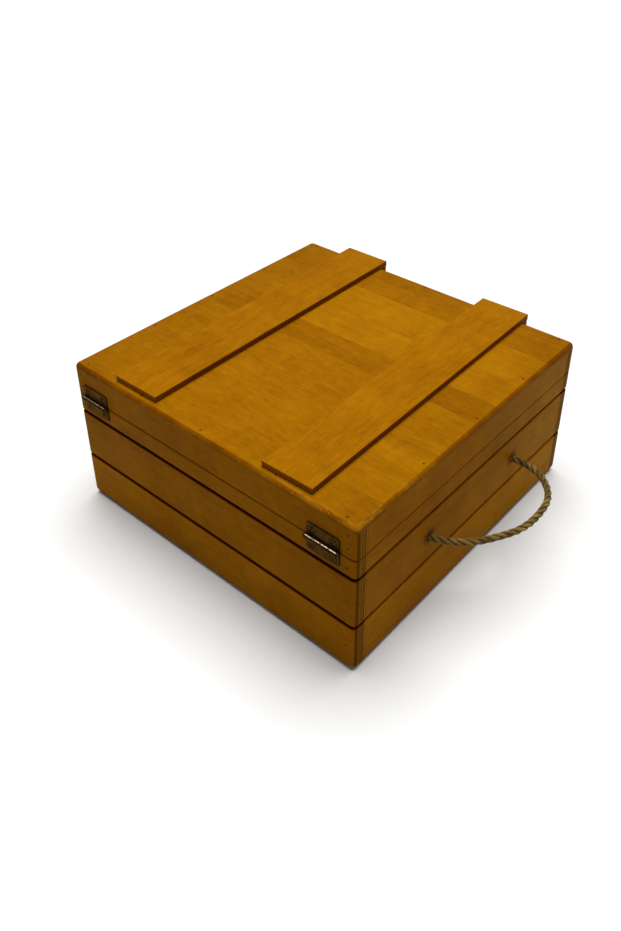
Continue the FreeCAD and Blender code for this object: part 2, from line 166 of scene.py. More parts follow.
def twisted(name, line, diameter, lay, yarns=7, ring=22, start_phase=0.0, hand=1.0, fuzz=0):
    """Three strands laid round each other along a line, each with its own yarns."""
    fr = frames(line)
    rs = diameter / 2 / (1 + 2 / math.sqrt(3)) * 1.13
    rh = diameter / 2 - rs
    verts, faces, strand_id, along, depth = [], [], [], [], []
    dist = [0.0]
    for a, b in zip(line, line[1:]):
        dist.append(dist[-1] + (b - a).length)
    for k in range(3):
        centres = []
        for p, (t, u, v), d in zip(line, fr, dist):
            ang = start_phase + hand * 2 * math.pi * d / lay + k * 2 * math.pi / 3
            wob = 1.0 + 0.05 * math.sin(d * 410 + k * 2.1)
            centres.append(p + (u * math.cos(ang) + v * math.sin(ang)) * rh * wob)
        sf = frames(centres)
        base = len(verts)
        for (t, u, v), c, d, p in zip(sf, centres, dist, line):
            radial = (c - p)
            radial = (radial - t * radial.dot(t)).normalized()
            tang2 = t.cross(radial)
            for j in range(ring):
                a = 2 * math.pi * j / ring
                tw = a * yarns - hand * 2 * math.pi * d / lay * yarns * 0.55
                r = rs * (1.0 + 0.055 * math.cos(tw) + 0.02 * math.sin(d * 900 + 3 * a + k))
                squash = 1.0 - 0.06 * math.cos(a)
                q = c + (radial * math.cos(a) * squash + tang2 * math.sin(a) * 1.04) * r
                verts.append(q)
                depth.append(min(1.0, (q - p).length / (diameter / 2)))
                strand_id.append(k)
                along.append(0.5 + 0.5 * math.cos(tw))
        n = len(centres)
        for i in range(n - 1):
            for j in range(ring):
                a0, a1 = base + i * ring + j, base + i * ring + (j + 1) % ring
                faces.append((a0, a1, a1 + ring, a0 + ring))
        faces.append(tuple(base + j for j in reversed(range(ring))))
        faces.append(tuple(base + (n - 1) * ring + j for j in range(ring)))
    me = bpy.data.meshes.new(name)
    me.from_pydata([tuple(v) for v in verts], [], faces)
    at = me.attributes.new("strand", "FLOAT", "POINT")
    at.data.foreach_set("value", [s / 2 for s in strand_id])
    at = me.attributes.new("crest", "FLOAT", "POINT")
    at.data.foreach_set("value", along)
    at = me.attributes.new("depth", "FLOAT", "POINT")
    at.data.foreach_set("value", depth)
    me.update()
    bm = bmesh.new()
    bm.from_mesh(me)
    bmesh.ops.recalc_face_normals(bm, faces=bm.faces)
    bm.to_mesh(me)
    bm.free()
    me.shade_smooth()
    ob = bpy.data.objects.new(name, me)
    scene.collection.objects.link(ob)
    return ob


ropes = {}
for side, sx in (("left", -1), ("right", 1)):
    pts = rope_points(sx)
    path = even(spline_line(pts, "route_" + side), 0.0006)
    rope = twisted("rope_handle_" + side, path, ROPE_D * 0.97, 0.0215, start_phase=0.6)
    length = sum((b - a).length for a, b in zip(path, path[1:]))
    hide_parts("rope_loop_" + side)
    ropes[side] = (rope, path, length, pts[0])



def join(name, parts):
    bm = bmesh.new()
    at_names = ("strand", "crest", "depth")
    layers = {}
    for ob in parts:
        bm.from_mesh(ob.data)
    me = bpy.data.meshes.new(name)
    bm.to_mesh(me)
    bm.free()
    me.shade_smooth()
    for ob in parts:
        old = ob.data
        bpy.data.objects.remove(ob)
        bpy.data.meshes.remove(old)
    ob = bpy.data.objects.new(name, me)
    scene.collection.objects.link(ob)
    return ob


def knot(name, sx, y):
    """Overhand knot on the inside of the panel, with a short tail."""
    inner = 0.138
    cx = inner - 0.0056
    pts = [Vector((sx * (inner + 0.0030), y, ROPE_Z)), Vector((sx * (inner + 0.0010), y, ROPE_Z))]
    n, k = 26, 0.00150
    for i in range(n):
        t = -0.35 + (2 * math.pi - 0.9) * i / (n - 1)
        a = math.sin(t) + 2 * math.sin(2 * t)
        b = math.cos(t) - 2 * math.cos(2 * t)
        lift = -math.sin(3 * t) * 0.0018
        drift = 0.0016 - 0.0032 * i / (n - 1)
        pts.append(Vector((sx * (cx + lift + drift), y + sx * k * a, ROPE_Z + k * b)))
    end = pts[-1]
    pts += [Vector((sx * (inner - 0.0115), y + 0.0006, ROPE_Z + 0.0008)), Vector((sx * (inner - 0.0155), y + 0.0012, ROPE_Z - 0.0004)),
            Vector((sx * (inner - 0.0192), y + 0.0004, ROPE_Z - 0.0014))]
    path = even(spline_line(pts, name + "_route"), 0.0006)
    return twisted(name, path, 0.0048, 0.0170, ring=16)


knots = {}
for side, sx in (("left", -1), ("right", 1)):
    pair = [knot("%s_knot_%d" % (side, i), sx, -sx * yy) for i, yy in enumerate((ROUTE[0][0], ROUTE[-1][0]))]
    knots[side] = join("rope_knots_tied_" + side, pair)
    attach(knots[side], "case")
    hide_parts("rope_knots_" + side)


# ------------------------------------------------------------------ stage and light
def make_stage():
    me = bpy.data.meshes.new("floor")
    s = 9.0
    me.from_pydata([(-s, -s, 0), (s, -s, 0), (s, s, 0), (-s, s, 0)], [], [(0, 1, 2, 3)])
    ob = bpy.data.objects.new("floor", me)
    ob.location.z = -0.0002
    scene.collection.objects.link(ob)
    mat = bpy.data.materials.new("floor")
    mat.use_nodes = True
    b = mat.node_tree.nodes["Principled BSDF"]
    b.inputs["Base Color"].default_value = (0.66, 0.66, 0.655, 1)
    b.inputs["Roughness"].default_value = 0.95
    b.inputs["Specular IOR Level"].default_value = 0.1
    me.materials.append(mat)
    w = bpy.data.worlds.new("world")
    scene.world = w
    w.use_nodes = True
    w.node_tree.nodes["Background"].inputs["Color"].default_value = (1.0, 0.99, 0.97, 1)
    w.node_tree.nodes["Background"].inputs["Strength"].default_value = 0.22

    def sun(name, frm, strength, angle):
        d = bpy.data.lights.new(name, "SUN")
        d.energy = strength
        d.angle = math.radians(angle)
        o = bpy.data.objects.new(name, d)
        o.rotation_mode = "QUATERNION"
        o.rotation_quaternion = Vector(frm).to_track_quat("Z", "Y")
        scene.collection.objects.link(o)

    sun("key", (0.12, -0.20, 1.25), 4.6, 50)
    scene.view_settings.view_transform = "Standard"
    scene.view_settings.look = "None"


make_stage()


# ------------------------------------------------------------------ node helper
class Graph:
    def __init__(self, name):
        self.mat = bpy.data.materials.new(name)
        self.mat.use_nodes = True
        self.nt = self.mat.node_tree
        self.nt.nodes.clear()
        self.out = self.nt.nodes.new("ShaderNodeOutputMaterial")
        self.bsdf = self.nt.nodes.new("ShaderNodeBsdfPrincipled")
        self.nt.links.new(self.bsdf.outputs[0], self.out.inputs[0])
        tc = self.nt.nodes.new("ShaderNodeTexCoord")
        self.P = tc.outputs["Object"]
        self.Nrm = tc.outputs["Normal"]
        s = self.nt.nodes.new("ShaderNodeSeparateXYZ")
        self.nt.links.new(self.P, s.inputs[0])
        self.x, self.y, self.z = s.outputs
        s = self.nt.nodes.new("ShaderNodeSeparateXYZ")
        self.nt.links.new(self.Nrm, s.inputs[0])
        self.nx, self.ny, self.nz = s.outputs

    def put(self, socket, v):
        if isinstance(v, bpy.types.NodeSocket):
            self.nt.links.new(v, socket)
        elif isinstance(v, (tuple, list)) and len(v) == 3 and socket.type == "RGBA":
            socket.default_value = (*v, 1.0)
        else:
            socket.default_value = v

    def m(self, op, a, b=0.0, c=None, clamp=False):
        n = self.nt.nodes.new("ShaderNodeMath")
        n.operation = op
        n.use_clamp = clamp
        self.put(n.inputs[0], a)
        self.put(n.inputs[1], b)
        if c is not None:
            self.put(n.inputs[2], c)
        return n.outputs[0]

    def vec(self, x, y, z):
        n = self.nt.nodes.new("ShaderNodeCombineXYZ")
        for i, v in enumerate((x, y, z)):
            self.put(n.inputs[i], v)
        return n.outputs[0]

    def noise(self, v, scale=1.0, detail=2.0, rough=0.5, dist=0.0):
        n = self.nt.nodes.new("ShaderNodeTexNoise")
        self.put(n.inputs["Vector"], v)
        n.inputs["Scale"].default_value = scale
        n.inputs["Detail"].default_value = detail
        n.inputs["Roughness"].default_value = rough
        n.inputs["Distortion"].default_value = dist
        return n.outputs["Fac"]

    def voronoi(self, v, scale=1.0, feature="F1", random=1.0):
        n = self.nt.nodes.new("ShaderNodeTexVoronoi")
        n.feature = feature
        self.put(n.inputs["Vector"], v)
        n.inputs["Scale"].default_value = scale
        n.inputs["Randomness"].default_value = random
        return n.outputs["Distance"]

    def ramp(self, f, stops, interp="LINEAR"):
        n = self.nt.nodes.new("ShaderNodeValToRGB")
        n.color_ramp.interpolation = interp
        e = n.color_ramp.elements
        while len(e) < len(stops):
            e.new(0.5)
        for i, (p, c) in enumerate(stops):
            e[i].position = p
            e[i].color = (c, c, c, 1) if isinstance(c, (int, float)) else (*c, 1)
        self.put(n.inputs[0], f)
        return n.outputs[0]

    def rng(self, v, a, b, lo=0.0, hi=1.0, smooth=True):
        n = self.nt.nodes.new("ShaderNodeMapRange")
        n.interpolation_type = "SMOOTHSTEP" if smooth else "LINEAR"
        self.put(n.inputs["Value"], v)
        n.inputs["From Min"].default_value = a
        n.inputs["From Max"].default_value = b
        n.inputs["To Min"].default_value = lo
        n.inputs["To Max"].default_value = hi
        return n.outputs[0]

    def band(self, v, centre, half, soft):
        """1 within half of centre, falling to 0 over soft."""
        d = self.m("ABSOLUTE", self.m("SUBTRACT", v, centre))
        return self.rng(d, half, half + soft, 1.0, 0.0)

    def mix(self, f, a, b, mode="MIX"):
        n = self.nt.nodes.new("ShaderNodeMix")
        n.data_type = "RGBA"
        n.blend_type = mode
        self.put(n.inputs[0], f)
        self.put(n.inputs[6], a)
        self.put(n.inputs[7], b)
        return n.outputs[2]

    def bump(self, h, strength, distance, normal=None):
        n = self.nt.nodes.new("ShaderNodeBump")
        n.inputs["Strength"].default_value = strength
        n.inputs["Distance"].default_value = distance
        self.put(n.inputs["Height"], h)
        if normal is not None:
            self.put(n.inputs["Normal"], normal)
        return n.outputs[0]

    def set(self, **k):
        names = {"color": "Base Color", "rough": "Roughness", "metal": "Metallic", "spec": "Specular IOR Level",
                 "normal": "Normal", "coat": "Coat Weight", "coat_rough": "Coat Roughness", "sheen": "Sheen Weight",
                 "sheen_rough": "Sheen Roughness", "sheen_tint": "Sheen Tint", "coat_normal": "Coat Normal",
                 "tint": "Specular Tint"}
        for a, v in k.items():
            self.put(self.bsdf.inputs[names[a]], v)
        return self.mat


# ------------------------------------------------------------------ wood
HONEY = (0.243, 0.0930, 0.0009)
HONEY_DARK = (0.168, 0.0560, 0.0005)
HONEY_LIGHT = (0.325, 0.1330, 0.0014)
# painted shade: the wall colours are the lid top's colours painted about a fifth darker, as the walls stand in shade
WALL = (0.203, 0.0745, 0.0008)
WALL_DARK = (0.138, 0.0455, 0.0005)
WALL_LIGHT = (0.262, 0.1030, 0.0012)
# painted shade in the upper and lower groove, on the full-width panels and on the side panels
GROOVE_SHADE = {"cross": ((0.085, 0.0012, 0.0005), (0.125, 0.0110, 0.0008)), "side": ((0.215, 0.0340, 0.0012), (0.150, 0.0240, 0.0010))}


def grain(g, axis, seed, shift=None, fine=1.0):
    """Grain, figure and pores that run along one axis. Returns tone 0..1 and a height."""
    u, v, w = {"x": (g.x, g.y, g.z), "y": (g.y, g.x, g.z), "z": (g.z, g.x, g.y)}[axis]
    off = seed * 3.173
    if shift is not None:
        u = g.m("ADD", u, shift)
        w2 = g.m("ADD", w, shift)
    else:
        w2 = w
    bend = g.noise(g.vec(g.m("MULTIPLY_ADD", u, 5.0, off), g.m("MULTIPLY", v, 9.0), g.m("MULTIPLY", w2, 9.0)), 1.0, 2.0, 0.5)
    vb = g.m("MULTIPLY_ADD", bend, 0.016, v)
    streak = g.noise(g.vec(g.m("MULTIPLY_ADD", u, 6.5, off), g.m("MULTIPLY", vb, 135.0), g.m("MULTIPLY", w2, 135.0)), 1.0, 4.0, 0.60)
    fibre = g.noise(g.vec(g.m("MULTIPLY_ADD", u, 62.0, off + 7.1), g.m("MULTIPLY", vb, 520.0), g.m("MULTIPLY", w2, 520.0)), 1.0, 3.0, 0.6)
    pore = g.noise(g.vec(g.m("MULTIPLY_ADD", u, 60.0, off + 2.7), g.m("MULTIPLY", vb, 1900.0), g.m("MULTIPLY", w2, 1900.0)), 1.0, 2.0, 0.5)
    figure = g.noise(g.vec(g.m("MULTIPLY_ADD", u, 34.0, off), g.m("MULTIPLY", v, 15.0), g.m("MULTIPLY", w2, 15.0)), 1.0, 3.0, 0.55, 0.8)
    blotch = g.noise(g.vec(g.m("MULTIPLY_ADD", u, 9.0, off + 4.0), g.m("MULTIPLY", v, 13.0), g.m("MULTIPLY", w2, 13.0)), 1.0, 2.0, 0.5)
    mottle = g.noise(g.vec(g.m("MULTIPLY_ADD", u, 120.0, off + 9.0), g.m("MULTIPLY", v, 210.0), g.m("MULTIPLY", w2, 210.0)), 1.0, 4.0, 0.62)
    t = g.m("MULTIPLY_ADD", g.m("SUBTRACT", streak, 0.5), 0.34, 0.5)
    t = g.m("MULTIPLY_ADD", g.m("SUBTRACT", mottle, 0.5), 0.45, t)
    t = g.m("MULTIPLY_ADD", g.m("SUBTRACT", fibre, 0.5), 0.52 * fine, t)
    t = g.m("MULTIPLY_ADD", g.m("SUBTRACT", figure, 0.5), 0.55, t)
    t = g.m("MULTIPLY_ADD", g.m("SUBTRACT", blotch, 0.5), 0.55, t)
    pits = g.rng(pore, 0.60, 0.74, 0.0, 1.0)
    height = g.m("MULTIPLY_ADD", pits, -0.6, g.m("MULTIPLY_ADD", fibre, 0.5, g.m("MULTIPLY", streak, 0.35)))
    return t, pits, height


def finish_wood(g, color, height, rough=0.40, bump=0.10, spec=0.005):
    peel = g.noise(g.P, 210.0, 2.0, 0.5)
    h = g.m("MULTIPLY_ADD", peel, 0.35, height)
    rn = g.noise(g.P, 24.0, 3.0, 0.6)
    r = g.m("MULTIPLY_ADD", g.m("SUBTRACT", rn, 0.5), 0.16, g.m("MULTIPLY_ADD", height, 0.05, rough))
    return g.set(color=color, rough=r, spec=spec, tint=(1.0, 0.50, 0.05), normal=g.bump(h, bump, 0.0004))


def tone_colour(g, t, dark=HONEY_DARK, mid=HONEY, light=HONEY_LIGHT):
    return g.ramp(t, [(0.12, dark), (0.50, mid), (0.88, light)])


def darken(g, color, mask, amount, to=(0.30, 0.16, 0.06)):
    """Multiply the colour towards a darker, redder one where mask is 1."""
    return g.mix(g.m("MULTIPLY", mask, amount), color, g.mix(1.0, color, to, "MULTIPLY"))


def panel_wood(name, axis, seed, kind):
    """Varnished plywood wall panel. kind is cross (full width) or side."""
    g = Graph(name)
    t, pits, h = grain(g, axis, seed)
    c = tone_colour(g, t, WALL_DARK, WALL, WALL_LIGHT)
    c = darken(g, c, pits, 0.22)
    # the lowest board is a little paler. Painted light and shade: the full-width panels are painted darker towards
    # their -X end, and the side panels lighter and yellower towards their -Y end
    c = g.mix(g.m("MULTIPLY", g.rng(g.z, GROOVES[1] - 0.0006, GROOVES[1] + 0.0006, 1.0, 0.0), 0.9), c, g.mix(1.0, c, (1.20, 1.22, 1.0), "MULTIPLY"))
    if kind == "side":
        c = g.mix(g.m("MULTIPLY", g.rng(g.y, -0.140, 0.040, 1.0, 0.0), 0.85), c, g.mix(1.0, c, (1.24, 1.40, 1.4), "MULTIPLY"))
    else:
        c = g.mix(g.m("MULTIPLY", g.rng(g.x, -0.150, -0.030, 1.0, 0.0), 0.8), c, g.mix(1.0, c, (0.86, 0.84, 0.8), "MULTIPLY"))
    # painted shade along each groove on the outer face, darker and redder on the full-width panels
    for zc in GROOVES:
        near = g.band(g.z, zc, 0.0011, 0.0022)
        c = darken(g, c, near, 0.62 if kind == "cross" else 0.30, (0.42, 0.22, 0.12))
        if kind == "cross":
            c = darken(g, c, g.band(g.z, zc, 0.0013, 0.0008), 0.80, (0.34, 0.06, 0.06))
    outer = g.m("MAXIMUM", g.rng(g.m("ABSOLUTE", g.x), X0 - 0.0030, X0 - 0.0015), g.rng(g.m("ABSOLUTE", g.y), Y0 - 0.0030, Y0 - 0.0015))
    rim = g.m("MULTIPLY", g.band(g.z, SPLIT, 0.0007, 0.0011), outer)
    c = darken(g, c, rim, 0.25, (0.50, 0.30, 0.14))
    # groove walls and floor, set back from the outer faces, painted dark as shade
    ax, ay = g.m("ABSOLUTE", g.x), g.m("ABSOLUTE", g.y)
    inx = g.rng(ax, X0 - 0.0019, X0 - 0.0013, 1.0, 0.0)
    iny = g.rng(ay, Y0 - 0.0019, Y0 - 0.0013, 1.0, 0.0)
    inside = g.m("MULTIPLY", inx, iny)
    for zc, groove_shade_colour in zip(GROOVES, GROOVE_SHADE[kind]):
        ing = g.m("MULTIPLY", g.band(g.z, zc, 0.0014, 0.0002), inside)
        c = g.mix(ing, c, groove_shade_colour)
    if kind == "cross":
        # plywood layers on the ends, outer veneer towards the face; the outermost 3 mm, over the rounded corner, is
        # painted dark, partly veneer and partly painted shade
        endm = g.rng(g.m("ABSOLUTE", g.nx), 0.72, 0.86)
        dpt = g.m("SUBTRACT", Y0, ay)
        wob = g.noise(g.vec(0.0, 0.0, g.m("MULTIPLY", g.z, 30.0)), 1.0, 2.0, 0.5)
        dpt = g.m("MULTIPLY_ADD", g.m("SUBTRACT", wob, 0.5), 0.0006, dpt)
        ply = g.ramp(g.m("MULTIPLY", dpt, 1.0 / 0.0125),
                     [(0.0, (0.120, 0.044, 0.0006)), (0.09, (0.082, 0.028, 0.0004)), (0.26, (0.086, 0.031, 0.0004)),
                      (0.31, (0.150, 0.056, 0.0010)), (0.45, (0.172, 0.066, 0.0016)), (0.50, (0.105, 0.038, 0.0008)),
                      (0.56, (0.160, 0.062, 0.0014)), (0.71, (0.150, 0.056, 0.0012)), (0.75, (0.080, 0.024, 0.0004)),
                      (0.80, (0.092, 0.032, 0.0006)), (0.84, (0.260, 0.108, 0.0040)), (0.91, (0.235, 0.096, 0.0030)),
                      (0.945, (0.075, 0.018, 0.0004)), (0.97, (0.070, 0.016, 0.0004))])
        fib = g.noise(g.vec(g.m("MULTIPLY", g.x, 90.0), g.m("MULTIPLY", g.y, 900.0), g.m("MULTIPLY", g.z, 110.0)), 1.0, 3.0, 0.6)
        ply = g.mix(0.5, ply, g.mix(1.0, ply, g.ramp(fib, [(0.3, 0.55), (0.7, 1.25)]), "MULTIPLY"))
        c = g.mix(endm, c, ply)
        # painted shade in the grooves again, over the plywood ends
        for zc, groove_shade_colour in zip(GROOVES, GROOVE_SHADE[kind]):
            ing = g.m("MULTIPLY", g.band(g.z, zc, 0.0014, 0.0002), inside)
            c = g.mix(ing, c, groove_shade_colour)
        c = darken(g, c, rim, 0.25, (0.50, 0.30, 0.14))
    else:
        # darker round each rope hole, centred a little above it
        for hy in (-0.060, 0.060):
            dy = g.m("SUBTRACT", g.y, hy + 0.002)
            dz = g.m("SUBTRACT", g.z, 0.068 + 0.002)
            d = g.m("SQRT", g.m("ADD", g.m("MULTIPLY", dy, dy), g.m("MULTIPLY", dz, dz)))
            d = g.m("MULTIPLY_ADD", g.m("SUBTRACT", g.noise(g.P, 140.0, 3.0, 0.6), 0.5), 0.006, d)
            c = darken(g, c, g.rng(d, 0.0030, 0.0095, 1.0, 0.0), 0.80, (0.36, 0.24, 0.16))
    # darker towards the bottom, in patches
    low = g.m("MULTIPLY", g.rng(g.z, 0.0, 0.010, 1.0, 0.0), g.noise(g.P, 60.0, 3.0, 0.6))
    c = darken(g, c, low, 0.55)
    red = g.m("MULTIPLY", g.rng(g.z, 0.004, 0.034, 1.0, 0.0), g.rng(g.noise(g.P, 75.0, 4.0, 0.65), 0.50, 0.66))
    c = g.mix(g.m("MULTIPLY", red, 0.42), c, g.mix(1.0, c, (1.12, 0.62, 0.35), "MULTIPLY"))
    return finish_wood(g, c, h)


def top_wood(name):
    """Lid panel: edge-glued staves along X, one of them darker."""
    g = Graph(name)
    yn = g.m("MULTIPLY_ADD", g.y, 1.0 / 0.300, 0.5)
    st = [(-0.1500, 0.42), (-0.1050, 0.98), (-0.0620, 0.92), (-0.0248, 0.22), (0.0025, 0.70), (0.0410, 0.78), (0.0797, 0.55), (0.1180, 0.60)]
    tone = g.ramp(yn, [((y + 0.150) / 0.300, v) for y, v in st], "CONSTANT")
    t, pits, h = grain(g, "x", 3.0, shift=g.m("MULTIPLY", tone, 4.7))
    tone = g.mix(g.m("MULTIPLY", g.rng(g.x, 0.098, 0.112), 0.65), tone, (0.62, 0.62, 0.62))
    t = g.m("ADD", t, g.m("MULTIPLY", g.m("SUBTRACT", tone, 0.72), 0.42))
    c = tone_colour(g, t)
    c = darken(g, c, pits, 0.20)
    # painted shade: the top is painted a little darker towards both ends
    c = g.mix(g.m("MULTIPLY", g.rng(g.m("ABSOLUTE", g.m("SUBTRACT", g.x, -0.008)), 0.098, 0.130), 0.75), c, g.mix(1.0, c, (0.88, 0.87, 0.85), "MULTIPLY"))
    # fine glue lines between the staves
    for y, v in st[1:]:
        c = darken(g, c, g.band(g.y, y, 0.00012, 0.0003), 0.14)
    # painted shade: the rounded edge and the side of the panel below it are painted darker, as they turn away from
    # the light
    anz = g.m("ABSOLUTE", g.nz)
    side = g.rng(anz, 0.08, 0.35, 1.0, 0.0)
    roll = g.m("MULTIPLY", g.rng(anz, 0.90, 0.97, 1.0, 0.0), g.rng(anz, 0.08, 0.35))
    roll = g.m("MULTIPLY", roll, g.m("MULTIPLY_ADD", g.rng(g.noise(g.P, 60.0, 4.0, 0.6), 0.35, 0.65), 0.30, 0.70))
    c = g.mix(roll, c, g.mix(1.0, c, (0.58, 0.44, 0.35), "MULTIPLY"))
    c = g.mix(side, c, g.mix(1.0, c, (0.80, 0.76, 0.85), "MULTIPLY"))
    seam = g.rng(g.z, 0.1351, 0.1359, 1.0, 0.0)
    c = darken(g, c, seam, 0.30, (0.45, 0.30, 0.15))
    # rubbed, slightly paler arris, and a painted highlight on the rounded edge
    arris = g.band(anz, 0.66, 0.15, 0.12)
    worn = g.m("MULTIPLY", arris, g.rng(g.noise(g.P, 46.0, 4.0, 0.65), 0.38, 0.62))
    dx, dy = g.m("ADD", g.x, X0), g.m("SUBTRACT", g.y, Y0)
    corner_wear_and_highlight = g.rng(g.m("SQRT", g.m("ADD", g.m("MULTIPLY", dx, dx), g.m("MULTIPLY", dy, dy))), 0.030, 0.120, 1.0, 0.0)
    # painted highlight: a paler band painted on the upper part of the rounded edge, strongest near the -X, +Y corner
    painted_highlight = g.m("MULTIPLY", g.m("MULTIPLY", g.rng(anz, 0.82, 0.88), g.rng(anz, 0.955, 0.985, 1.0, 0.0)), g.rng(g.noise(g.P, 120.0, 4.0, 0.65), 0.40, 0.60))
    c = g.mix(g.m("MULTIPLY", g.m("MULTIPLY", painted_highlight, corner_wear_and_highlight), 0.32), c, (0.42, 0.190, 0.008))
    c = g.mix(g.m("MULTIPLY", g.m("MULTIPLY", worn, corner_wear_and_highlight), 0.30), c, (0.40, 0.185, 0.010))
    chips = g.m("MULTIPLY", arris, g.rng(g.noise(g.P, 430.0, 4.0, 0.7), 0.56, 0.66))
    chips = g.m("MULTIPLY", chips, g.m("MULTIPLY_ADD", g.rng(g.y, 0.100, 0.145), 0.75, 0.25))
    c = g.mix(g.m("MULTIPLY", chips, g.m("MULTIPLY_ADD", corner_wear_and_highlight, 0.20, 0.12)), c, (0.46, 0.235, 0.025))
    # small dark bruises near the rear edge
    spots = g.voronoi(g.P, 38.0)
    spot = g.m("MULTIPLY", g.rng(spots, 0.030, 0.055, 1.0, 0.0), g.rng(g.y, 0.118, 0.128))
    c = darken(g, c, spot, 0.55)
    return finish_wood(g, c, h, rough=0.36, spec=0.014)


def batten_wood(name, axis, seed):
    g = Graph(name)
    t, pits, h = grain(g, axis, seed, fine=1.25)
    c = g.ramp(t, [(0.12, (0.172, 0.0580, 0.0005)), (0.50, (0.247, 0.0920, 0.0009)), (0.88, (0.310, 0.1220, 0.0013))])
    c = darken(g, c, pits, 0.35)
    # painted shade: the side faces are painted much darker, as they face away from the light
    if axis == "y":
        side = g.rng(g.m("ABSOLUTE", g.nz), 0.30, 0.60, 1.0, 0.0)
    else:
        side = g.rng(g.m("ABSOLUTE", g.ny), 0.30, 0.60, 1.0, 0.0)
    c = g.mix(g.m("MULTIPLY", side, 0.85), c, g.mix(1.0, c, (0.62, 0.40, 0.22), "MULTIPLY"))
    return finish_wood(g, c, h, rough=0.43, bump=0.14, spec=0.014)


def plain_wood(name, axis, seed, mid=(0.40, 0.235, 0.095)):
    g = Graph(name)
    t, pits, h = grain(g, axis, seed)
    d = tuple(v * 0.72 for v in mid)
    l = tuple(v * 1.18 for v in mid)
    c = g.ramp(t, [(0.12, d), (0.50, mid), (0.88, l)])
    c = darken(g, c, pits, 0.25)
    return finish_wood(g, c, h, rough=0.50, spec=0.08)


# ------------------------------------------------------------------ metal, felt, rope
def bronze(name, base=(0.053, 0.028, 0.009), bright=(0.55, 0.44, 0.29), barrel=None, rings=None, knuckles=None):
    """Antiqued hinge metal: dark patina, thin in places. barrel is (y, z, radius) of a round part whose upper crest
    gets a painted highlight.
    """
    g = Graph(name)
    cloud = g.noise(g.P, 230.0, 4.0, 0.62, 0.4)
    fine = g.noise(g.P, 1500.0, 3.0, 0.6)
    c = g.ramp(cloud, [(0.25, tuple(v * 0.45 for v in base)), (0.55, base), (0.80, tuple(v * 1.7 for v in base))])
    c = g.mix(g.rng(fine, 0.58, 0.72), c, tuple(v * 0.5 for v in base))
    wear_and_highlight = g.m("MULTIPLY", g.rng(g.noise(g.P, 700.0, 3.0, 0.6), 0.58, 0.78), 0.12)
    rough = g.m("MULTIPLY_ADD", cloud, 0.28, 0.30)
    if barrel:
        by, bz, br = barrel
        dy, dz = g.m("SUBTRACT", g.y, by), g.m("SUBTRACT", g.z, bz)
        d = g.m("SQRT", g.m("ADD", g.m("MULTIPLY", dy, dy), g.m("MULTIPLY", dz, dz)))
        onb = g.m("MULTIPLY", g.rng(d, br + 0.00012, br + 0.0004, 1.0, 0.0), g.rng(d, br - 0.0005, br - 0.0002))
        out = 1.0 if by > 0 else -1.0
        # painted highlight: the crest of the barrel that faces up and outwards is painted bright, in patches and
        # broken at the knuckle gaps
        crest = g.m("ADD", g.m("MULTIPLY", g.ny, 0.42 * out), g.m("MULTIPLY", g.nz, 0.907))
        crest = g.m("MULTIPLY", g.rng(crest, 0.984, 0.998), onb)
        patch = g.rng(g.noise(g.vec(g.m("MULTIPLY", g.x, 210.0), 0.0, 0.0), 1.0, 2.0, 0.6), 0.36, 0.50)
        crest = g.m("MULTIPLY", crest, g.m("MULTIPLY_ADD", patch, 0.75, 0.25))
        if knuckles:
            start, pitch = knuckles
            f = g.m("FRACT", g.m("MULTIPLY_ADD", g.x, 1.0 / pitch, -start / pitch))
            gap = g.m("ABSOLUTE", g.m("SUBTRACT", f, 0.5))
            crest = g.m("MULTIPLY", crest, g.rng(gap, 0.40, 0.46, 1.0, 0.0))
        wear_and_highlight = g.m("MULTIPLY", wear_and_highlight, g.m("SUBTRACT", 1.0, onb))
        wear_and_highlight = g.m("MAXIMUM", wear_and_highlight, crest)
        rough = g.m("MULTIPLY_ADD", crest, -0.10, rough)
    if rings:
        # a dark ring round each screw
        for x, z in rings:
            dx, dz = g.m("SUBTRACT", g.x, x), g.m("SUBTRACT", g.z, z)
            d = g.m("SQRT", g.m("ADD", g.m("MULTIPLY", dx, dx), g.m("MULTIPLY", dz, dz)))
            ring = g.m("MULTIPLY", g.rng(d, 0.0030, 0.0038, 1.0, 0.0), 0.85)
            c = g.mix(ring, c, (0.010, 0.007, 0.004))
            wear_and_highlight = g.m("MULTIPLY", wear_and_highlight, g.m("SUBTRACT", 1.0, ring))
    c = g.mix(wear_and_highlight, c, bright)
    return g.set(color=c, metal=0.9, rough=rough, spec=0.15, tint=(0.85, 0.60, 0.32),
                 normal=g.bump(g.m("ADD", cloud, g.m("MULTIPLY", fine, 0.4)), 0.22, 0.00012))


def nail_head(name):
    """Small sunk nail head, stained over with the wood."""
    g = Graph(name)
    a = g.noise(g.P, 1700.0, 3.0, 0.6)
    b = g.noise(g.P, 420.0, 2.0, 0.5)
    c = g.ramp(g.m("MULTIPLY_ADD", b, 0.5, g.m("MULTIPLY", a, 0.5)), [(0.30, (0.070, 0.021, 0.0008)), (0.55, (0.110, 0.037, 0.0008)), (0.80, (0.150, 0.054, 0.0008))])
    return g.set(color=c, rough=g.m("MULTIPLY_ADD", a, 0.25, 0.50), spec=0.01, tint=(1.0, 0.50, 0.05), normal=g.bump(a, 0.4, 0.0001))


def felt(name, mid=(0.008, 0.070, 0.030)):
    g = Graph(name)
    a = g.noise(g.P, 1300.0, 4.0, 0.7, 0.6)
    b = g.noise(g.P, 60.0, 3.0, 0.6)
    f = g.m("MULTIPLY_ADD", g.m("SUBTRACT", b, 0.5), 0.5, a)
    c = g.ramp(f, [(0.25, tuple(v * 0.6 for v in mid)), (0.55, mid), (0.85, tuple(v * 1.5 for v in mid))])
    return g.set(color=c, rough=g.m("MULTIPLY_ADD", a, 0.08, 0.90), spec=0.1, sheen=0.08, sheen_rough=0.5,
                 normal=g.bump(a, 0.6, 0.0004))


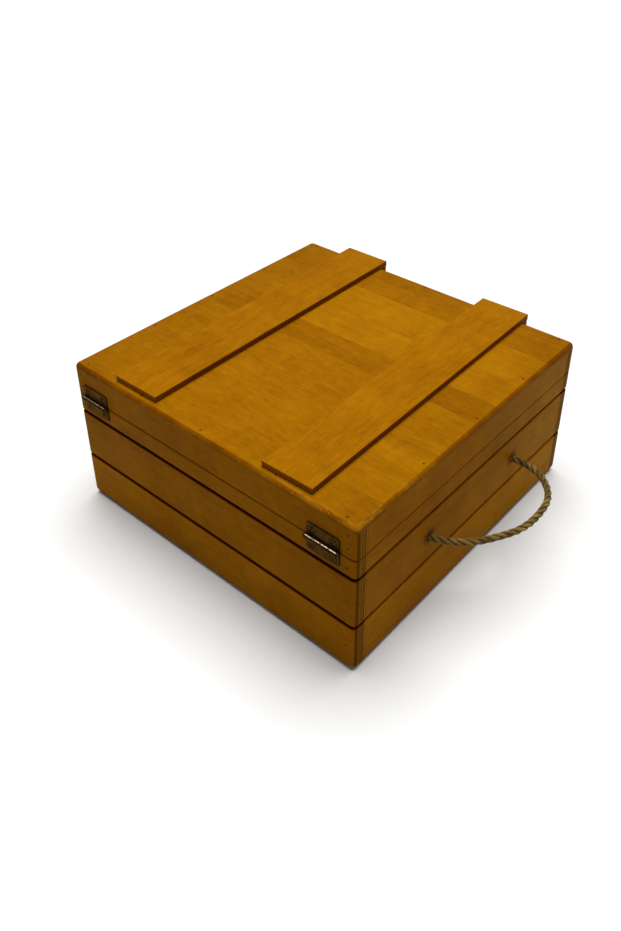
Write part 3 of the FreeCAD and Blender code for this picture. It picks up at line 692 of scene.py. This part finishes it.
def rope_fibre(name):
    g = Graph(name)
    at = g.nt.nodes.new("ShaderNodeAttribute")
    at.attribute_name = "crest"
    crest = at.outputs["Fac"]
    st = g.nt.nodes.new("ShaderNodeAttribute")
    st.attribute_name = "strand"
    dp = g.nt.nodes.new("ShaderNodeAttribute")
    dp.attribute_name = "depth"
    hair = g.noise(g.P, 1900.0, 3.0, 0.7, 1.2)
    cloud = g.noise(g.P, 110.0, 3.0, 0.6)
    # painted shade: the fibre is painted darker deep in the gaps between the strands
    strand_gap_shade = g.rng(dp.outputs["Fac"], 0.62, 0.93, 1.0, 0.0)
    # painted highlight: the yarn crests are painted lighter
    t = g.m("MULTIPLY_ADD", g.m("SUBTRACT", hair, 0.5), 1.7, g.m("MULTIPLY_ADD", crest, 0.60, 0.21))
    t = g.m("MULTIPLY_ADD", strand_gap_shade, -0.78, t)
    t = g.m("MULTIPLY_ADD", g.m("SUBTRACT", cloud, 0.5), 0.7, t)
    t = g.m("MULTIPLY_ADD", g.m("SUBTRACT", st.outputs["Fac"], 0.5), 0.10, t)
    c = g.ramp(t, [(0.05, (0.014, 0.006, 0.001)), (0.30, (0.050, 0.026, 0.005)), (0.55, (0.130, 0.078, 0.015)), (0.78, (0.250, 0.160, 0.036)), (0.98, (0.50, 0.36, 0.120))])
    return g.set(color=c, rough=0.85, spec=0.1, sheen=0.05, sheen_rough=0.45,
                 normal=g.bump(g.m("ADD", hair, crest), 0.55, 0.0003))


M = {}
M["cross"] = panel_wood("cross_panel_wood", "x", 1.0, "cross")
M["cross_front"] = panel_wood("front_panel_wood", "x", 5.0, "cross")
M["side_l"] = panel_wood("left_panel_wood", "y", 2.0, "side")
M["side_r"] = panel_wood("right_panel_wood", "y", 6.0, "side")
M["top"] = top_wood("lid_top_wood")
M["batten_l"] = batten_wood("batten_left_wood", "y", 8.0)
M["batten_r"] = batten_wood("batten_right_wood", "y", 11.0)
M["strip"] = batten_wood("front_strip_wood", "z", 9.0)
M["bottom"] = plain_wood("bottom_wood", "x", 12.0, (0.36, 0.19, 0.055))
M["tray_x"] = plain_wood("tray_wood_x", "x", 13.0)
M["tray_y"] = plain_wood("tray_wood_y", "y", 14.0)
M["felt"] = felt("green_felt")
for side in ("left", "right"):
    hx = middle("hinge_%s_pin" % side).x
    rings = [(hx + i * 0.0097, SPLIT + k * 0.0074) for i in (-1, 1) for k in (-1, 1)]
    M["hinge_" + side] = bronze("hinge_bronze_" + side, barrel=(HINGE_AXIS.y, HINGE_AXIS.z, 0.0023), rings=rings, knuckles=(hx - 0.01425, 0.007125))
M["hasp"] = bronze("hasp_bronze", barrel=(HASP_AXIS.y, HASP_AXIS.z, 0.0023))
M["screw"] = bronze("screw_bronze", base=(0.050, 0.034, 0.015), bright=(0.22, 0.18, 0.12))
M["nail"] = nail_head("nail_iron")
M["rope"] = rope_fibre("rope_fibre")

USE = {
    "rear_panel": "cross", "front_panel": "cross_front", "left_side_panel": "side_l", "right_side_panel": "side_r",
    "lid_rear_rail": "cross", "lid_front_rail": "cross_front", "lid_left_rail": "side_l", "lid_right_rail": "side_r",
    "bottom_panel": "bottom", "floor_lining": "felt", "lid_lining": "felt", "lid_top_panel": "top",
    "batten_left": "batten_l", "batten_right": "batten_r", "front_strip_left": "strip", "front_strip_right": "strip",
    "left_runner": "tray_y", "right_runner": "tray_y",
}
for t in ("lower", "upper"):
    USE[t + "_tray_bottom"] = "tray_y"
    USE[t + "_tray_side_boards"] = "tray_y"
    USE[t + "_tray_dividers"] = "tray_y"
    USE[t + "_tray_end_boards"] = "tray_x"
for n in nodes:
    if n.startswith("hinge_") and "screws" not in n:
        USE[n] = "hinge_left" if "left" in n else "hinge_right"
    elif n.startswith("hasp_") and "screws" not in n:
        USE[n] = "hasp"
    elif "screws" in n:
        USE[n] = "screw"
    elif "nails" in n:
        USE[n] = "nail"
    elif n.startswith("rope_"):
        USE[n] = "rope"


def assign(ob, mat):
    ob.data.materials.clear()
    ob.data.materials.append(mat)


# ------------------------------------------------------------------ softened copies of the wooden pieces
WALLS = ("rear_panel", "front_panel", "left_side_panel", "right_side_panel",
         "lid_rear_rail", "lid_front_rail", "lid_left_rail", "lid_right_rail")
SHOULDERS = [(zc + s * 0.0011, 0.0010) for zc in GROOVES for s in (-1, 1)] + [(0.1105, 0.0004), (0.1110, 0.0004)]


def softened(node, width, segments=2):
    """The same board with its sharp arrises eased, as sanding leaves them."""
    src = nodes[node]
    me = src.data.copy()
    me.transform(src.matrix_world)
    ob = bpy.data.objects.new(node + "_board", me)
    scene.collection.objects.link(ob)
    bm = bmesh.new()
    bm.from_mesh(me)
    bmesh.ops.remove_doubles(bm, verts=bm.verts, dist=1e-6)
    bmesh.ops.dissolve_limit(bm, angle_limit=math.radians(0.8), verts=bm.verts, edges=bm.edges)
    if node in WALLS:
        # worn shoulders along both grooves and along the joint between case and lid
        for level, size in SHOULDERS:
            lines = [e for e in bm.edges if all(abs(v.co.z - level) < 1e-5 and
                     max(abs(v.co.x) / X0, abs(v.co.y) / Y0) > 0.988 for v in e.verts)]
            if lines:
                bmesh.ops.bevel(bm, geom=lines, offset=size, offset_type="OFFSET", segments=3, profile=0.5,
                                affect="EDGES", clamp_overlap=True)
    bm.to_mesh(me)
    bm.free()
    if me.has_custom_normals:
        me.attributes.remove(me.attributes["custom_normal"])
    me.shade_smooth()
    me.set_sharp_from_angle(angle=math.radians(60))
    mod = ob.modifiers.new("ease", "BEVEL")
    mod.width = width
    mod.segments = segments
    mod.limit_method = "ANGLE"
    mod.angle_limit = math.radians(40)
    mod.use_clamp_overlap = True
    mod.harden_normals = False
    wn = ob.modifiers.new("faces", "WEIGHTED_NORMAL")
    wn.mode = "FACE_AREA"
    wn.weight = 100
    wn.keep_sharp = True
    bpy.context.view_layer.update()
    dg = bpy.context.evaluated_depsgraph_get()
    done = bpy.data.meshes.new_from_object(ob.evaluated_get(dg), depsgraph=dg)
    ob.modifiers.clear()
    ob.data = done
    bpy.data.meshes.remove(me)
    return ob


BODY = {n: b for b, ns in frame["record"]["behaviour"]["bodies"].items() for n in ns}
EASE = {
    "rear_panel": 0.0004, "front_panel": 0.0004, "left_side_panel": 0.0004, "right_side_panel": 0.0004,
    "lid_rear_rail": 0.0004, "lid_front_rail": 0.0004, "lid_left_rail": 0.0004, "lid_right_rail": 0.0004,
    "batten_left": 0.0003, "batten_right": 0.0003, "front_strip_left": 0.0003, "front_strip_right": 0.0003,
    "left_runner": 0.0005, "right_runner": 0.0005, "lid_top_panel": 0.0003,
    "upper_tray_end_boards": 0.0004, "upper_tray_side_boards": 0.0004, "upper_tray_dividers": 0.0003,
    "lower_tray_end_boards": 0.0004, "lower_tray_side_boards": 0.0004, "lower_tray_dividers": 0.0003,
    "upper_tray_bottom": 0.0004, "lower_tray_bottom": 0.0004,
}
for n, w in EASE.items():
    ob = softened(n, w)
    assign(ob, M[USE[n]])
    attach(ob, BODY[n])
    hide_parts(n)
for n, ob in nodes.items():
    if n not in EASE and n in USE and not n.startswith("rope_loop"):
        assign(ob, M[USE[n]])

for side, sx in (("left", -1), ("right", 1)):
    rope, path, length, first = ropes[side]
    assign(rope, M["rope"])
    assign(knots[side], M["rope"])
    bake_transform(rope)
